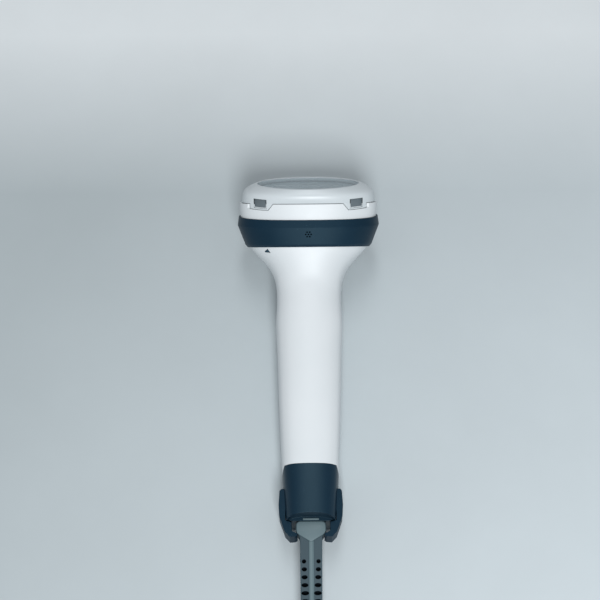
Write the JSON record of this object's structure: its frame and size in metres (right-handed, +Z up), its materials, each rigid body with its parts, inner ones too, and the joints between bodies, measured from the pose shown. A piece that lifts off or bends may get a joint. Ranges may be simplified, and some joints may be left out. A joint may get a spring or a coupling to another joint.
{
  "type": "handheld barcode scanner",
  "caption": "Slim corded handheld barcode scanner with a wide rubber-banded head, oval reading window, thumb key and latched lead.",
  "frame": {"origin": "middle of the flat rest land under the foot, on the table the scanner lies on", "axes": "+X to the right across the grip, +Y from the foot along the grip to the reading window, +Z up away from the table"},
  "size_m": [0.0726, 0.3677, 0.0559],
  "materials": {
    "housing_white": "fine satin grain",
    "rubber_navy": "satin moulded rubber",
    "plastic_navy": "satin moulded plastic",
    "clear_window": "clear polished",
    "gasket_black": "matt",
    "relief_grey": "satin grey vinyl",
    "strap_black": "woven strap",
    "pin_steel": "plated",
    "board_green": "solder mask",
    "chip_black": "moulded",
    "part_pale": "moulded",
    "flex_amber": "film"
  },
  "bodies": {
    "housing": {"back_shell": "housing_white", "board_capacitors": "part_pale", "board_screws": "pin_steel", "buzzer": "chip_black", "cable": "relief_grey", "cable_coil": "relief_grey", "cable_jack": "chip_black", "cable_plug": "part_pale", "cable_tail": "relief_grey", "coil_tie": "strap_black", "decoder_chip": "chip_black", "engine_chassis": "chip_black", "engine_cradle": "chip_black", "engine_flex": "flex_amber", "engine_screws": "pin_steel", "flex_connector": "part_pale", "foot_cover": "plastic_navy", "foot_screw": "pin_steel", "front_shell": "housing_white", "head_bumper": "rubber_navy", "housing_screws": "pin_steel", "illumination_board": "board_green", "illumination_leds": "part_pale", "image_sensor": "chip_black", "latch_pins": "pin_steel", "latch_spring_left": "pin_steel", "latch_spring_right": "pin_steel", "lens_barrel": "chip_black", "light_pipe": "clear_window", "light_strip": "clear_window", "main_board": "board_green", "memory_chip": "chip_black", "nose_cap": "housing_white", "objective_lens": "clear_window", "power_coil": "chip_black", "sensor_board": "board_green", "snap_hooks": "relief_grey", "status_leds": "part_pale", "strain_relief": "relief_grey", "trigger_dome": "gasket_black", "trigger_pin": "pin_steel", "trigger_spring": "pin_steel", "trigger_switch": "chip_black", "usb_plug_grip": "relief_grey", "usb_plug_shell": "pin_steel", "usb_plug_tongue": "part_pale", "window": "clear_window", "window_gasket": "gasket_black"},
    "trigger": {"trigger_key": "plastic_navy"},
    "left_latch": {"latch_left": "plastic_navy"},
    "right_latch": {"latch_right": "plastic_navy"}
  },
  "joints": [
    {"name": "trigger_press", "type": "hinge", "parent": "housing", "child": "trigger", "pos_m": [0, 0.09105, 0.008], "axis": [1, 0, 0], "range_deg": [0, 2.8], "stiffness_Nm_per_rad": 0.6, "deforming": ["trigger_dome", "trigger_spring"]},
    {"name": "left_latch_squeeze", "type": "hinge", "parent": "housing", "child": "left_latch", "pos_m": [-0.0104, -0.001, 0.0136], "axis": [0, 0, -1], "range_deg": [0, 7], "stiffness_Nm_per_rad": 0.3, "deforming": ["latch_spring_left"]},
    {"name": "right_latch_squeeze", "type": "hinge", "parent": "housing", "child": "right_latch", "pos_m": [0.0104, -0.001, 0.0136], "axis": [0, 0, 1], "range_deg": [0, 7], "stiffness_Nm_per_rad": 0.3, "deforming": ["latch_spring_right"]}
  ]
}
